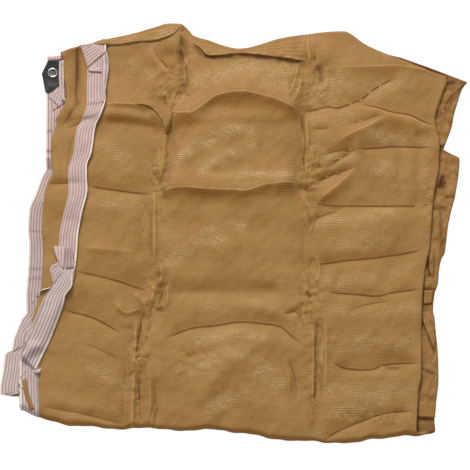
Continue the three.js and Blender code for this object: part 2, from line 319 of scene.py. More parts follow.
# Creases of the sheet on top, each a smooth line through its places. high: millimetres, below zero for
# a trough; left, right: how far it spreads to each side of its way; sharp: 1 for a pointed section,
# 2 for a round one.
CREASES = paths("high left right sharp", """
2.5 22 45 1.5 -293,425 -242,437 -187,441
3.5 30 14 1.3 229,378 300,382 360,382 410,374 440,366
10 5 50 1.3 -121,500 -121,450 -117,415 -106,400
6 5 40 1.3 -108,405 -112,370 -106,315
-4 4 4 1 -117,450 -119,415 -113,385
3 4 4 1 -127,446 -131,410 -127,380
3 4 5 1 -126,330 -137,300 -150,276
-3 4 4 1 -119,318 -131,292 -147,268
-4 6 14 1 -180,422 -152,380 -128,352
4 4 14 1.3 -189,425 -169,390 -136,350

3.5 7 6 1.2 -152,266 -156,184 -163,102
-4 12 8 1.6 -139,262 -140,184 -147,110
4 4 4 1 -171,168 -166,140 -160,104
3 4 4 1 -188,152 -182,128 -172,100
-3 5 5 1 -185,150 -176,125 -165,99
-3 5 5 1 -154,138 -160,118 -165,99
3 6 6 1.2 -106,313 -139,273 -152,226
6 6 5 1 -178,90 -178,8 -178,-78
3 4 4 1 -168,-84 -162,-112 -172,-140
-3 4 4 1 -156,-92 -150,-120 -160,-150
3 4 4 1 -190,-150 -196,-180 -186,-210
-3 4 4 1 -176,-190 -184,-220 -194,-250
-6 9 16 1.5 -194,75 -196,5 -192,-75
-4 4 4 1.1 -174,-83 -176,-95 -169,-106
-4 4 4 1.1 -165,-139 -160,-153 -169,-176
-3.5 4 4 1.1 -183,-183 -174,-188 -161,-185
4 5 5 1.1 -187,-120 -178,-144 -185,-172
3 5 5 1.1 -154,-127 -147,-158 -158,-190
5 7 5 1 -207,-209 -216,-226 -218,-272 -224,-336
6 6 5 1 -222,-336 -224,-396 -225,-476
-6 5 5 1 -231,-320 -234,-380 -237,-456
-5 5 5 1 -207,-320 -209,-390 -210,-460
-5 5 5 1 -199,-190 -208,-240 -214,-290 -212,-330
3 4 4 1 -187,-345 -184,-400 -189,-455
-4 4 5 1 -178,-345 -174,-396 -178,-455
-3 6 12 1.5 -228,-240 -228,-285 -233,-330
-3 4 5 1 -191,-244 -198,-268 -207,-291
-2.5 5 5 1.1 -183,-284 -198,-322 -218,-361
-4 4 6 1 -169,-410 -174,-434 -180,-465

6 24 5 1 -290,292 -253,290 -218,288 -183,273 -165,250 -152,222
-2.5 5 5 1 -187,292 -161,289 -143,306
5 12 14 1.6 -301,273 -235,266 -161,252
-3 6 20 1.2 -304,254 -235,247 -156,235
-6 28 22 1 -323,100 -257,89 -183,81
2.5 10 14 1.2 -341,-45 -286,-48 -218,-55
-5.5 25 16 1 -350,-99 -271,-118 -191,-145
4 16 4 1.2 -266,-167 -240,-197 -200,-183
3 4 14 1.2 -222,-148 -202,-165 -200,-183
-6 22 14 1 -378,-188 -308,-208 -249,-244
-3 6 6 1.2 -257,-240 -235,-233 -213,-244
-2.5 10 10 1.1 -334,-270 -301,-279 -242,-314
-3 8 10 1 -420,-413 -341,-428 -238,-453

10 38 17 1 -147,273 -99,268 -62,293 -35,310 22,316 90,299 147,272
11 40 18 1 -172,83 -121,92 -64,88 0,86 26,84 59,96 100,102 141,107
2.5 14 9 1.5 -124,252 -26,260 66,260 117,250
4 22 20 1.6 -130,142 -77,219 26,233
3 18 18 1.6 -68,137 -15,168 66,212
-5.5 18 18 1.2 -158,-147 -33,-147 108,-146
-5.5 18 11 1 -150,-254 -99,-233 -46,-226 7,-217 51,-220 99,-228 121,-247 150,-272
2.5 18 22 1.6 -22,-179 44,-183 110,-202
-3 6 6 1.1 117,-303 132,-350 130,-401
2 5 5 1.2 101,-307 117,-343 117,-396
4 22 22 1.6 -88,-422 -29,-331 68,-251
-2 6 6 1.2 -125,-307 -95,-298 -57,-293
-3 10 10 1.4 -20,-420 -29,-448 -37,-485

5 5 6 1 160,452 163,420 167,386
-4 4 4 1 151,440 153,415 156,392
-4 5 5 1 175,440 176,410 178,386
4 5 5 1 142,388 132,350 118,306
3 4 4 1 150,357 142,330 134,300
-3 4 4 1 134,372 126,340 116,314
-3 10 10 1.4 213,380 216,334 213,287
-5 6 8 1 148,270 148,189 147,107
3.5 4 5 1 156,262 161,205 172,168 160,124
3 7 4 1 156,266 158,184 154,107
-5 4 4 1 139,97 154,94 169,90
3 5 5 1 145,82 166,46 175,29
3 4 4 1 166,44 170,12 160,-14
-3 4 4 1 158,56 168,20 176,0
3 4 4 1 148,-98 158,-128 150,-160
-3 4 4 1 166,-100 172,-134 160,-170
3 4 4 1 158,-176 150,-205 162,-236
-3 4 4 1 150,-170 140,-196 148,-222
3 4 5 1 176,-60 186,-96 174,-130
2.5 4 4 1 154,41 159,4
-3 6 6 1.2 160,-6 158,-50 152,-97
-2.5 4 4 1 173,-66 159,-94
-4 4 5 1 107,-198 127,-193 147,-190
-7 7 8 1.2 183,-210 184,-312 181,-406
5 4 6 1.1 172,-225 172,-312 170,-404
4 5 5 1.1 197,-215 199,-300 195,-380
-2 6 6 1.2 180,-406 174,-448 169,-480

-7 22 11 1 145,275 174,279 205,287 227,284 264,297 282,306 306,328 337,347 358,351
-7 32 8 1 276,292 312,285 345,275 386,268 413,254 445,241
5 5 26 1.2 276,285 312,278 345,268 386,261 413,247 442,235
-3 8 8 1 240,242 278,251 312,261 332,264
5 16 12 1.2 227,205 260,222 277,231 308,246 330,261
-3 6 8 1 169,235 189,234 209,234
-3.5 8 10 1 188,172 229,182 268,185
-4.5 7 9 1 200,142 233,165 268,186
-5 22 16 1 268,186 323,190 352,193 402,192 438,192
-3.5 9 10 1.6 365,249 366,149 367,60
-3.2 9 10 1.6 407,240 407,140 407,30
-6 8 16 1 164,103 216,128 265,144
5 14 12 1.2 177,60 196,76 224,100 246,120 265,141
-2 5 5 1 175,208 164,190 158,160
-3.5 5 5 1 175,163 165,146 154,130
-6 25 16 1 175,58 229,54 301,54 378,54 436,57
-3.5 5 8 1 162,-6 170,15 188,29 233,47
-5 20 14 1 177,-85 246,-74 301,-69 378,-56 414,-47
-4.5 18 22 1.6 408,32 367,-54 319,-148
-3 10 10 1.4 233,-92 229,-116 222,-139
-5 16 14 1 204,-148 260,-153 312,-157 345,-149 408,-141
-3.5 10 12 1.1 253,-189 301,-174 345,-168
-6 16 8 1 213,-310 238,-323 278,-328 305,-325 323,-316 363,-312 406,-312
-3 5 6 1 323,-320 345,-325 367,-324
-4.5 14 9 1 186,-494 213,-476 240,-462 301,-437 345,-426 394,-424

-11 8 9 1 -350,436 -349,369 -352,317 -348,289
-4 6 8 1 -415,104 -367,105 -331,104
-3 5 5 1 -352,286 -361,272 -375,248 -386,233
-4 8 6 1 -373,232 -355,240 -334,250 -307,257
-2 4 4 1 -366,247 -350,260
-2 4 4 1 -356,218 -365,183 -368,147 -373,120
""")

# Places where the sheet on top is crumpled, or dented.
CRUMPLES = columns("x y across along high", """
-171 -135 18 60 1.5
166 -165 28 70 1.5
172 120 26 70 1.4
-160 300 34 60 0.8
190 330 30 50 0.6
-90 -310 60 30 0.6
-212 -330 22 90 1.1
-112 390 22 70 1
-165 120 22 70 1.2
140 340 30 60 0.8
172 -330 20 90 0.9
426 90 10 90 0.8
300 -440 110 12 0.8
""")
DENTS = columns("x y across along deep", """
190 360 16 20 5
-225 -40 60 70 1
""")

# Bands that lie in shadow between folds, and look dark red-brown. much: share; width: millimetres.
HOLLOWS = paths("much width", """
0.5 7 184,382 190,350
0.5 4 -119,452 -119,410
0.4 4 151,440 156,392
0.5 6 -88,430 -70,408 -40,401
0.45 5 -40,401 20,404 62,400 96,396 150,390
0.5 6 -112,462 -110,436
0.6 5 160,96 174,91
0.5 5 -170,-96 -165,-110
0.2 8 -190,60 -191,0 -190,-76
0.25 5 -233,-330 -236,-380 -238,-450
0.2 8 184,-215 184,-300 182,-400
0.25 5 152,268 150,190 148,112
0.2 9 -119,450 -118,400 -112,330
0.2 8 -141,260 -142,184 -149,112
0.2 8 -120,384 -150,420
0.5 6 -178,-185 -162,-186
0.6 3 -350,424 -349,369 -352,318 -349,290
0.4 4 -352,286 -361,272 -375,248
0.7 7 -437,-156 -420,-150 -402,-143
""")

# The same on the layers under the right-hand edge.
LOWER_HOLLOWS = paths("much width", """
0.9 9 345,412 373,402 391,395 427,382 446,374 466,362
0.9 6 462,344 482,348
0.45 12 478,356 512,350
0.7 2.6 514,348 495,331 473,308 460,281 447,262
0.4 3 500,331 480,304 462,272
0.8 5 447,196 464,197
0.95 6 457,125 450,102
0.8 5 461,112 456,100
0.6 3.5 438,106 436,92
0.6 3 466,78 486,78
0.6 3 451,54 462,54
0.6 3 433,51 450,51
0.5 3 452,46 452,-17
0.5 4 458,-20 452,-40
0.8 4 425,-56 424,-76 427,-104
0.7 4 412,-139 436,-138
0.8 4 411,-140 411,-172
0.6 3 411,-176 432,-173
0.6 4 410,-212 422,-240 436,-280
0.6 4 409,-322 431,-333
0.7 4 398,-438 438,-440
0.4 16 400,-462 438,-462
""")

# Bands where the knit shines: painted sheen and highlight streaks, with lower roughness.
PAINTED_SHEEN_BANDS = paths("much width", """
0.9 13 -128,157 -74,196 -7,225 30,225
0.8 12 -70,134 -38,157 2,172 39,182
0.9 9 -62,119 15,124 129,124
0.7 12 -70,-10 -37,4 15,4
0.7 14 -142,-78 -97,-38 -33,-29
0.7 22 -80,350 -30,362 40,372 110,366
0.6 16 60,340 110,330
0.4 12 -60,-176 20,-172 90,-178
0.8 14 -80,-262 0,-246 60,-250
0.7 16 -90,-330 -20,-290 60,-300
0.8 16 -60,-420 10,-380 70,-330
0.6 14 90,-330 100,-400
0.6 30 195,300 215,340 240,330
0.5 22 300,330 370,330
0.6 14 180,255 250,262
0.6 16 300,225 360,205 420,205
0.6 14 200,178 260,170
0.5 30 330,140 380,120
0.6 18 190,20 260,20 340,34
0.5 22 230,-30 330,-30
0.35 14 200,-120 300,-110 380,-90
0.4 14 215,-185 300,-200 390,-180
0.6 18 200,-270 300,-270 380,-270
0.7 20 210,-380 300,-380 380,-370
0.7 14 200,-440 250,-420 330,-400
0.5 18 -300,200 -240,160
0.4 20 -300,60 -220,60
0.4 24 -300,-330 -240,-380
0.4 20 -240,380 -180,360
""")

# Where the tape lies in shadow.
TAPE_SHADOWS = paths("much width", """
0.9 5 -372,400 -372,345 -370,300 -378,276 -392,256
0.35 2.5 -333,290 -290,291
0.45 2.5 -348,250 -333,256 -307,261
0.5 3 -414,231 -404,231
0.6 3.5 -414,184 -404,182
0.6 5 -412,165 -408,144
0.4 3 -422,62 -404,60
0.4 3 -450,-2 -424,-6
0.35 5 -455,-92 -424,-92
0.35 5 -457,-118 -424,-112
0.5 6 -452,-283 -440,-262
0.13 24 -436,40 -442,-40 -440,-120 -444,-180
0.08 18 -438,-330 -436,-400
""")
TAPE_GREY = paths("much width", """
0.9 10 -412,310 -412,140
0.7 26 -440,190 -442,60 -446,-100 -448,-300
""")
GREYER = (-160.0, -60.0)  # the tape is greyer nearer than this

# Small dark marks on the net.
SPECKS = ((-202, -1), (-290, -364), (385, -256), (37, -438))


def smoothstep(value, low, high):
    t = np.clip((value - low) / (high - low), 0, 1)
    return t * t * (3 - 2 * t)


def mix(a, b, share):
    return a + (b - a) * share


def in_frame(x, y, z):
    """Places in the frame, in metres, from places in the plan and heights."""
    return np.stack(np.broadcast_arrays((x + ORIGIN[0]) * MM, (y + ORIGIN[1]) * MM, z * MM), -1)


def read(table, key, at, column):
    """A smooth curve through one column of a table, level beyond its ends, that never swings past a row."""
    knots, values = table[key], table[column]
    at = np.clip(at, knots[0], knots[-1])
    i = np.clip(np.searchsorted(knots, at, side="right") - 1, 0, len(knots) - 2)
    rate = np.diff(values) / np.diff(knots)
    slope = np.concatenate([rate[:1], np.zeros(len(rate) - 1), rate[-1:]])
    same = rate[:-1] * rate[1:] > 0
    total = np.where(same, rate[:-1] + rate[1:], 1)
    slope[1:-1] = np.where(same, 2 * rate[:-1] * rate[1:] / total, 0)
    span = knots[i + 1] - knots[i]
    t = (at - knots[i]) / span
    rise = values[i + 1] - values[i]
    first, second = slope[i] * span, slope[i + 1] * span
    return values[i] + t * (first + t * (3 * rise - 2 * first - second + t * (first + second - 2 * rise)))


def along(run, column):
    """Where an edge of the cloth lies, or how its margin turns, along the run."""
    table = next(t for t in (LEFT, INNER, RIGHT) if column in t)
    return read(table, "run", run, column)


def across(x, column):
    """Where an end of the cloth or the near fold lies, across the packet."""
    return read(ACROSS, "x", x, column)


def waves(x, y, seed, count, shortest, longest):
    """Gentle random unevenness, about one unit high."""
    rng = np.random.default_rng(seed)
    total = np.zeros_like(x)
    for _ in range(count):
        length = shortest * (longest / shortest) ** rng.random()
        angle, phase = rng.random(2) * 2 * math.pi
        total += np.sin((x * math.cos(angle) + y * math.sin(angle)) * 2 * math.pi / length + phase)
    return total / math.sqrt(count / 2)


def smooth_path(points, steps=6):
    """A Catmull-Rom curve through a few places."""
    ends = np.vstack([2 * points[0] - points[1], points, 2 * points[-1] - points[-2]])
    t = np.linspace(0, 1, steps, endpoint=False)[:, None]
    route = []
    for a, b, c, d in zip(ends, ends[1:], ends[2:], ends[3:]):
        curve = t**2 * (a - 2.5 * b + 2 * c - d / 2) + t**3 * (1.5 * (b - c) + (d - a) / 2)
        route.append(b + t * (c - a) / 2 + curve)
    return np.vstack([*route, points[-1:]])


def nearest_on(route, px, py):
    """How far places lie from a line, on which side of it and how far along it, and how long the line is."""
    gap, side, done = np.full(px.shape, FAR), np.zeros_like(px), np.zeros_like(px)
    before = 0
    for (ax, ay), (bx, by) in zip(route, route[1:]):
        length = np.hypot(bx - ax, by - ay)
        dx, dy = (bx - ax) / length, (by - ay) / length
        s = np.clip((px - ax) * dx + (py - ay) * dy, 0, length)
        ex, ey = px - ax - s * dx, py - ay - s * dy
        away = np.hypot(ex, ey)
        closer = away < gap
        gap = np.where(closer, away, gap)
        side = np.where(closer, dx * ey - dy * ex, side)
        done = np.where(closer, before + s, done)
        before += length
    return gap, side, done, before


def crease(x, y, row):
    """The height of one crease at each place, how far it lies from its line and how near to its ends."""
    left, right, high, sharp = (row[name] for name in ("left", "right", "high", "sharp"))
    route = smooth_path(row["path"])
    reach = 4 * max(left, right)
    low, top = route.min(0) - reach, route.max(0) + reach
    near = (x > low[0]) & (x < top[0]) & (y > low[1]) & (y < top[1])
    gap, side, done, total = nearest_on(route, x[near], y[near])
    width = mix(right, left, np.clip(side / 2, -1, 1) / 2 + 0.5)
    taper = min(0.3 * total, 30)
    ends = smoothstep(done, -0.2 * taper, taper) * smoothstep(total - done, -0.2 * taper, taper)
    wide = smoothstep(width / min(left, right), 1.3, 2.2)
    power = mix(sharp, max(sharp, 1.6), wide if high > 0 else 0)
    soft = np.hypot(gap, CUSP) - CUSP
    height, line, share = np.zeros_like(x), np.full(x.shape, FAR), np.zeros_like(x)
    height[near] = high * np.exp(-((soft / width) ** power)) * ends
    line[near] = np.where(side < 0, -gap, gap)
    share[near] = ends
    return height, line, share


def spots(table, x, y):
    """For each spot of a table, its last column and how near each place is to its middle, as a share."""
    for cx, cy, wide, long, much in zip(*table.values()):
        yield much, np.exp(-(((x - cx) / wide) ** 2) - ((y - cy) / long) ** 2)


def relief(x, y):
    """Creases and unevenness of the sheet on top."""
    total = sum(crease(x, y, row)[0] for row in CREASES)
    crumple = waves(x, y, *CRUMPLE_WAVES)
    for high, near in spots(CRUMPLES, x, y):
        total += high * near * crumple
    for deep, near in spots(DENTS, x, y):
        total -= deep * near
    total = CREASE_GAIN * total + 1.2 * waves(x, y, *BROAD_WAVES) + 0.35 * waves(x, y, *FINE_WAVES)
    return np.where(total < 0, DEEPEST * np.tanh(total / DEEPEST), total)


def crease_lines(x, y, ridges):
    """How far each place lies from the nearest sharp trough, or ridge, and how strong that is there."""
    nearest, strength = np.full(x.shape, FAR), np.zeros_like(x)
    for row in CREASES:
        if (row["high"] > 0) != ridges or row["sharp"] > (1.35 if ridges else 1.15):
            continue
        _, line, share = crease(x, y, row)
        closer = np.abs(line) < np.abs(nearest)
        nearest = np.where(closer, line, nearest)
        strength = np.where(closer, share * min(abs(row["high"]) / 5, 1), strength)
    fade = 1 - smoothstep(np.abs(nearest), 5, 9)
    return np.clip(nearest, -9, 9), strength * fade


def crumpled(x, y):
    """How crumpled the sheet on top is at each place, as a share."""
    return np.clip(0.06 + sum(0.45 * near for _, near in spots(CRUMPLES, x, y)), 0, 1)


def bands(table, x, y):
    """The strongest of some bands at each place."""
    strongest = np.zeros_like(x)
    for row in table:
        width = row["width"]
        _, line, _ = crease(x, y, {**row, "high": 1, "left": width, "right": width, "sharp": 2})
        strongest = np.maximum(strongest, row["much"] * np.exp(-((line / width) ** 2) ** 1.6))
    return strongest


def fullness(x, y, run):
    """How much higher than its layers the packet stands, as a share. Round the eyelet it is level."""
    share = sum(gain * near for gain, near in spots(FULLNESS, x, y))
    for side in ("west", "east"):
        fold = read(OLD_FOLDS, "run", np.abs(run), side)
        share -= OLD_FOLD["depth"] * np.exp(-(((x - fold) / OLD_FOLD["half"]) ** 2))
    clear = np.hypot(x - EYELET["x"], y - EYELET["y"])
    return 1 + share * smoothstep(clear, 60, 120)


# ---------------- the folded sheet

def lift(x, run):
    """The lower tape lifts the left margin by what it stands out from the net."""
    edge = along(-np.abs(run), "start") - along(-np.abs(run), "margin")
    return TAPE_LIFT * (1 - smoothstep(x - edge, TAPE_WIDTH + 8, TAPE_WIDTH + 50))


def place(x, depth, run):
    """Places in the frame, in metres. depth: how far in from the outer half."""
    x, depth, run = np.broadcast_arrays(*(np.asarray(a, float) for a in (x, depth, run)))
    angle = np.clip(run / TURN, -1, 1) * 90  # round the near fold, from the lower run to the upper one
    turn = np.radians(angle)
    radius = NEAR_FOLD - depth
    share = np.maximum(np.abs(run) - TURN, 0) / (1 - TURN)
    layer = np.clip(depth / PITCH, 0, 1)
    middle = across(x, "near") + NEAR_FOLD + NEAR_WAVE * waves(x, 0 * x, *NEAR_WAVES)
    upper = mix(across(x, "outer"), across(x, "inner"), layer)
    far = np.where(run > 0, upper, across(x, "lower") - layer * PITCH)
    y = mix(middle, far, share) - radius * np.cos(turn)
    height = FOLD_HEIGHT + radius * np.sin(turn)
    z = np.where(height > 0, height * fullness(x, y, run), height)

    # The upper run's outer layer is creased.
    creased = relief(x, y)
    top = smoothstep(angle, -60, 90) * (1 - smoothstep(depth, 1.5, PITCH - 1))
    z = z + top * creased + lift(x, run)

    # The lower run's inner layer rises where it shows past the right-hand edge of the upper run.
    deep_in = smoothstep(depth, PITCH / 2, PITCH - 1)
    shows = smoothstep(x - along(-run, "right"), -30, -6) * (run < 0) * deep_in * smoothstep(share, 0.02, 0.1)
    z = z + shows * (RAISED + 0.9 * waves(x, y, *STRIP_WAVES))

    # The upper run's inner layer lies lower under the creases, but not at its edges.
    inside = smoothstep(x - along(run, "inner"), 70, 130) * smoothstep(along(run, "right") - x, 20, 60)
    inside = inside * smoothstep(share, 0.05, 0.12) * smoothstep(1 - share, 0.02, 0.08)
    sunk = SUNK + np.maximum(-creased - PRESSING, 0)
    return in_frame(x, y, z - sunk * inside * deep_in * (run > 0))


def outer_places(run, u, off):
    """x and depth on the outer half, u from its free edge. off: towards the face that lies outwards."""
    start, margin, turned = (along(run, name) for name in ("start", "margin", "turned"))
    past = margin - u
    bend = np.clip(past / FOLD, 0, np.radians(turned))
    straight = past - bend * FOLD
    x = start - (FOLD - off) * np.sin(bend) - straight * np.cos(bend)
    depth = -FOLD + (FOLD - off) * np.cos(bend) - straight * np.sin(bend)
    flat = past <= 0
    return np.where(flat, start - past, x), np.where(flat, -off, depth)


def right_places(run, degrees, off):
    """x and depth on the right-hand fold, at -90 by the outer half and 90 by the inner one."""
    bend = np.radians(degrees)
    x = along(run, "right") - FOLD + (FOLD + off) * np.cos(bend)
    return x, FOLD + (FOLD + off) * np.sin(bend)


def inner_places(run, q, off):
    """x and depth on the inner half, q from its free edge."""
    return along(run, "inner") + q, PITCH + off + 0 * q


def placed(parts):
    """Plan x and places in the frame, from parts that lie side by side on each row."""
    x, depth = (np.concatenate(part, 1) for part in zip(*parts))
    return x, place(x, depth, ROWS)


def crowded(start, end, count, focus, spread):
    """Rising places from start to end, one list for each focus, closer together round it."""
    at = np.linspace(start, end, 400)
    places = []
    for centre in np.ravel(focus):
        sums = np.cumsum(1 + 5 * np.exp(-(((at - centre) / spread) ** 2)))
        places.append(np.interp(np.linspace(sums[0], sums[-1], count + 1), sums, at))
    return np.array(places)


def cloth_map(points, across_=None):
    """Coordinates on the flat cloth, in millimetres, from the places on its surface."""
    if across_ is None:
        steps = np.linalg.norm(np.diff(points, axis=1), axis=2)
        across_ = np.pad(np.cumsum(steps, 1), ((0, 0), (1, 0))) / MM
    steps = np.linalg.norm(np.diff(points, axis=0), axis=2)
    along_ = np.pad(np.cumsum(np.median(steps, 1)), (1, 0)) / MM
    return np.stack(np.broadcast_arrays(across_, along_[:, None]), -1)


# ---------------- meshes

def new_piece(name, points, faces, material=None):
    """A mesh in the scene."""
    mesh = bpy.data.meshes.new(name)
    mesh.from_pydata(points, [], faces)
    if material:
        mesh.materials.append(material)
    piece = bpy.data.objects.new(name, mesh)
    bpy.context.scene.collection.objects.link(piece)
    return piece


def strip_faces(kept, flip, first):
    """Faces between rows of kept columns. first: the number of each row's first place."""
    faces = []
    for i, (near, far) in enumerate(zip(kept, kept[1:])):
        shared = sorted(set(near) & set(far))
        for a, b in zip(shared, shared[1:]):
            loop = [first[i] + c for c in near if a <= c <= b]
            loop += [first[i + 1] + c for c in reversed(far) if a <= c <= b]
            faces.append(loop[::-1] if flip else loop)
    return faces


def sheet_mesh(name, front, back, uv, material, marks=None, kept=None, kept_back=None):
    """A closed sheet between two grids of places, with the cloth's coordinates in metres as its UV map.
    marks: values for the material, by name. kept, kept_back: the columns that each row uses, on the two
    faces; the rims of both are the same."""
    height, width = front.shape[:2]
    kept = kept or [list(range(width))] * height
    count = height * width
    first = [i * width for i in range(height)]
    faces = strip_faces(kept, False, first)
    faces += strip_faces(kept_back or kept, True, [f + count for f in first])
    rim = [f + kept[0][0] for f in first]
    rim += [first[-1] + c for c in kept[-1][1:]]
    rim += [f + kept[0][-1] for f in first[-2::-1]]
    rim += kept[0][-2:0:-1]
    faces += [[a, b, b + count, a + count] for a, b in zip(rim, rim[1:] + rim[:1])]
    used = np.zeros(2 * count, bool)
    for face in faces:
        used[face] = True
    number = np.cumsum(used) - 1
    points = np.concatenate([front.reshape(-1, 3), back.reshape(-1, 3)])[used]
    piece = new_piece(name, points.tolist(), [number[face].tolist() for face in faces], material)
    mesh = piece.data
    layer = mesh.uv_layers.new(name="cloth")
    corners = np.empty(len(mesh.loops), np.int32)
    mesh.loops.foreach_get("vertex_index", corners)
    flat = np.tile(uv.reshape(-1, 2), (2, 1))[used] * MM
    layer.data.foreach_set("uv", flat[corners].astype(np.float32).ravel())
    for key, values in (marks or {}).items():
        both = np.tile(values.ravel(), 2)[used].astype(np.float32)
        mesh.attributes.new(key, "FLOAT", "POINT").data.foreach_set("value", both)
    mesh.shade_smooth()
    mesh.validate()
    return piece


def pierce(piece, low, high):
    """Cuts the eyelet's hole through a piece, between two heights in metres."""
    turn = np.linspace(0, 2 * math.pi, ROUND, endpoint=False)
    ring = in_frame(EYELET["x"], EYELET["y"], 0)[:2] + HOLE * MM * np.stack([np.cos(turn), np.sin(turn)], -1)
    points = [(*p, z) for z in (low, high) for p in ring]
    sides = [(i, (i + 1) % ROUND, (i + 1) % ROUND + ROUND, i + ROUND) for i in range(ROUND)]
    caps = [tuple(range(ROUND))[::-1], tuple(range(ROUND, 2 * ROUND))]
    drill = new_piece("drill", points, sides + caps)
    cut = piece.modifiers.new("cut", "BOOLEAN")
    cut.object, cut.operation, cut.solver = drill, "DIFFERENCE", "EXACT"
    graph = bpy.context.evaluated_depsgraph_get()
    whole, mesh = piece.data, drill.data
    piece.data = bpy.data.meshes.new_from_object(piece.evaluated_get(graph))
    piece.modifiers.clear()
    bpy.data.objects.remove(drill)
    for old in (whole, mesh):
        bpy.data.meshes.remove(old)


# ---------------- materials

def srgb(r, g, b):
    """A colour as it is seen, 0 to 255, as the values that shaders take."""
    levels = (c / 255 for c in (r, g, b))
    return *(v / 12.92 if v < 0.04 else ((v + 0.055) / 1.055) ** 2.4 for v in levels), 1


class Nodes:
    """A new material, with short ways to add and link its nodes. Colours are given as they are seen."""

    def __init__(self, name):
        self.material = bpy.data.materials.new(name)
        self.material.use_nodes = True
        self.tree = self.material.node_tree
        self.tree.nodes.clear()

    def add(self, kind, inputs=(), **settings):
        node = self.tree.nodes.new("ShaderNode" + kind)
        for key, value in settings.items():
            setattr(node, key, value)
        for key, value in dict(inputs).items():
            if isinstance(value, bpy.types.NodeSocket):
                self.tree.links.new(value, node.inputs[key])
            else:
                node.inputs[key].default_value = value
        return node

    def finish(self, kind, inputs):
        """Ends the material in a shader, and gives the material."""
        shader = self.add(kind, inputs)
        self.add("OutputMaterial", {0: shader.outputs[0]})
        return self.material

    def math(self, operation, a, b=0.0):
        return self.add("Math", {0: a, 1: b}, operation=operation).outputs[0]

    def times(self, a, b):
        return self.math("MULTIPLY", a, b)

    def plus(self, a, b):
        return self.math("ADD", a, b)

    def minus(self, a, b):
        return self.math("SUBTRACT", a, b)

    def size(self, a):
        return self.math("ABSOLUTE", a)

    def clamp(self, a):
        return self.add("Clamp", {0: a}).outputs[0]

    def wave(self, angle):
        """A wave between 0 and 1."""
        return self.plus(self.times(self.math("SINE", angle), 0.5), 0.5)

    def past(self, value, start, gain):
        """How far a value is past its start, times a gain, as a share."""
        return self.clamp(self.times(self.minus(value, start), gain))

    def near(self, distance, reach, most=1.0):
        """A share that falls with distance, from most, and by 1 for each reach."""
        return self.clamp(self.minus(most, self.times(distance, 1 / reach)))

    def mark(self, name):
        """A value that the mesh holds for each of its places."""
        return self.add("Attribute", attribute_name=name).outputs["Fac"]

    def cloth(self):
        """The place on the flat cloth, and its parts across and along."""
        uv = self.add("UVMap", uv_map="cloth").outputs[0]
        parts = self.add("SeparateXYZ", {0: uv}).outputs
        return uv, parts[0], parts[1]

    def noise(self, vector, scale, detail=2.0, roughness=0.5):
        inputs = {"Vector": vector, "Scale": scale, "Detail": detail, "Roughness": roughness}
        return self.add("TexNoise", inputs).outputs["Fac"]

    def scaled(self, vector, x, y, z=1.0):
        return self.add("Mapping", {"Vector": vector, "Scale": (x, y, z)}).outputs[0]

    def ramp(self, fac, *stops):
        """A colour that changes through stops: a place from 0 to 1, and red, green and blue."""
        node = self.add("ValToRGB", {"Fac": fac})
        band = node.color_ramp
        while len(band.elements) < len(stops):
            band.elements.new(0.5)
        for element, (at, *colour) in zip(band.elements, stops):
            element.position = at
            element.color = srgb(*colour)
        return node.outputs["Color"]

    def blend(self, fac, under, colour):
        """A colour covered by another one, as far as fac says."""
        if isinstance(colour, tuple):
            colour = srgb(*colour)
        return self.add("Mix", {"Factor": fac, 6: under, 7: colour}, data_type="RGBA").outputs[2]

    def bump(self, height, strength, distance, *under):
        """A bumpy surface, over another bumpy one where that is given."""
        inputs = {"Height": height, "Strength": strength, "Distance": distance}
        inputs.update(zip(["Normal"], under))
        return self.add("Bump", inputs).outputs[0]


